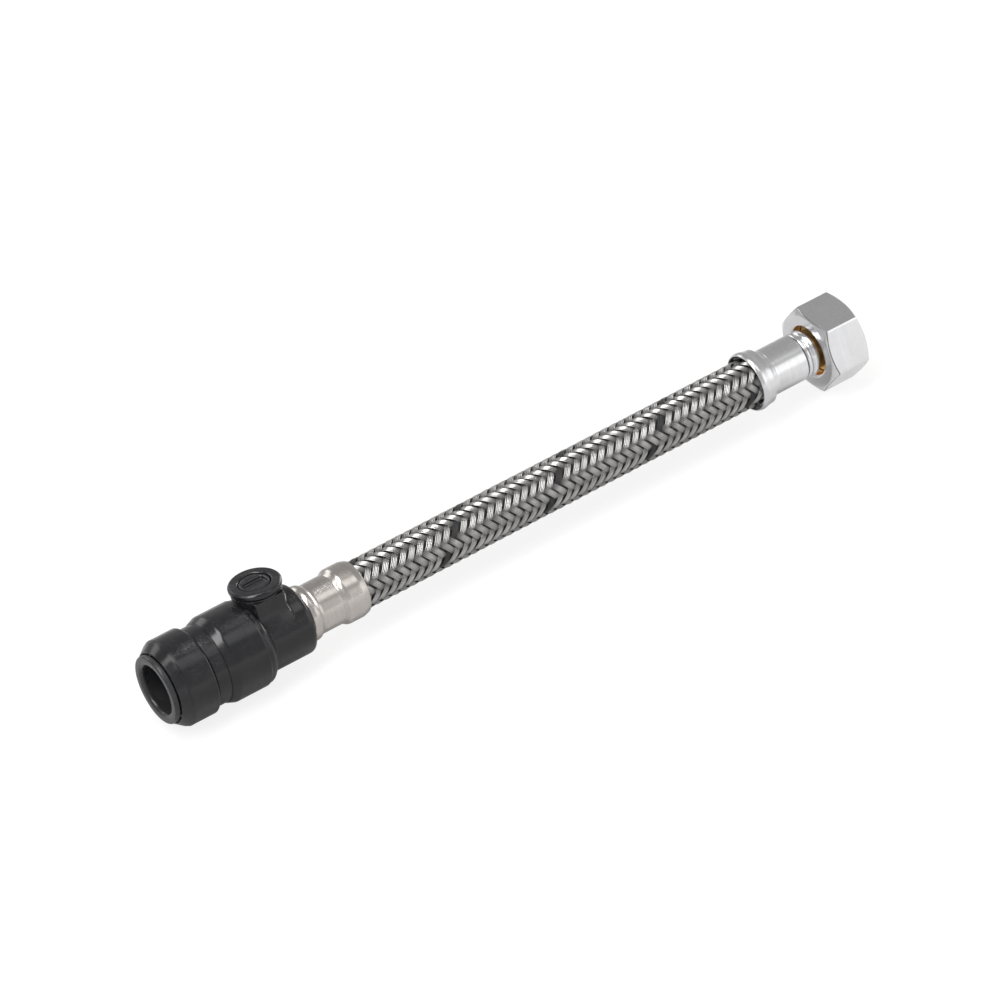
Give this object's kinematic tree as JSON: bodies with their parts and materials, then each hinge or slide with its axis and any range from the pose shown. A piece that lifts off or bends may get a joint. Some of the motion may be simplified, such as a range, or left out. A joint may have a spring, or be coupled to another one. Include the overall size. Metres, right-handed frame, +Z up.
{
  "type": "flexible tap connector",
  "caption": "Short braided steel hose with a black push-fit pipe socket and screwdriver service valve at one end and a hexagon union nut at the other.",
  "frame": {"origin": "middle of the length and width, at the level of the surface that the connector lies on", "axes": "+X along the hose from the pipe socket to the union nut, +Z up along the axis of the valve boss"},
  "size_m": [0.2546, 0.0278, 0.032],
  "materials": {
    "collet_plastic": "satin black, moulded",
    "cap_plastic": "satin black, moulded",
    "body_plastic": "satin black, moulded",
    "disc_plastic": "satin black, moulded",
    "spindle_plastic": "satin black, moulded",
    "seat_plastic": "smooth white",
    "black_rubber": "matt black",
    "spring_steel": "bright stamped steel",
    "ball_chrome": "polished chrome",
    "tail_brass": "turned brass",
    "nickel": "satin, warm",
    "braid_steel": "woven bright wire",
    "ferrule_chrome": "polished, lightly drawn",
    "tail_chrome": "polished chrome",
    "nut_chrome": "polished chrome on brass"
  },
  "bodies": {
    "connector": {"retaining_cap": "cap_plastic", "spacer_washer": "cap_plastic", "socket_seal": "black_rubber", "valve_body": "body_plastic", "ball_seat_front": "seat_plastic", "ball_seat_rear": "seat_plastic", "boss_disc": "disc_plastic", "near_tail": "tail_brass", "near_ferrule": "nickel", "hose_liner": "black_rubber", "braid_sleeve": "braid_steel", "far_ferrule": "ferrule_chrome", "far_tail": "tail_chrome", "sealing_washer": "black_rubber"},
    "release_collet": {"collet": "collet_plastic", "grab_ring": "spring_steel"},
    "valve_core": {"valve_ball": "ball_chrome", "spindle": "spindle_plastic", "spindle_seal": "black_rubber"},
    "swivel_nut": {"union_nut": "nut_chrome"}
  },
  "joints": [
    {"name": "collet_release", "type": "slide", "parent": "connector", "child": "release_collet", "axis": [1, 0, 0], "range_m": [0, 0.0015]},
    {"name": "valve_turn", "type": "hinge", "parent": "connector", "child": "valve_core", "pos_m": [-0.08845, 0, 0.01401], "axis": [0, 0, 1], "range_deg": [0, 90]},
    {"name": "nut_spin", "type": "hinge", "parent": "connector", "child": "swivel_nut", "pos_m": [0.12015, 0, 0.01401], "axis": [1, 0, 0], "continuous": true}
  ]
}
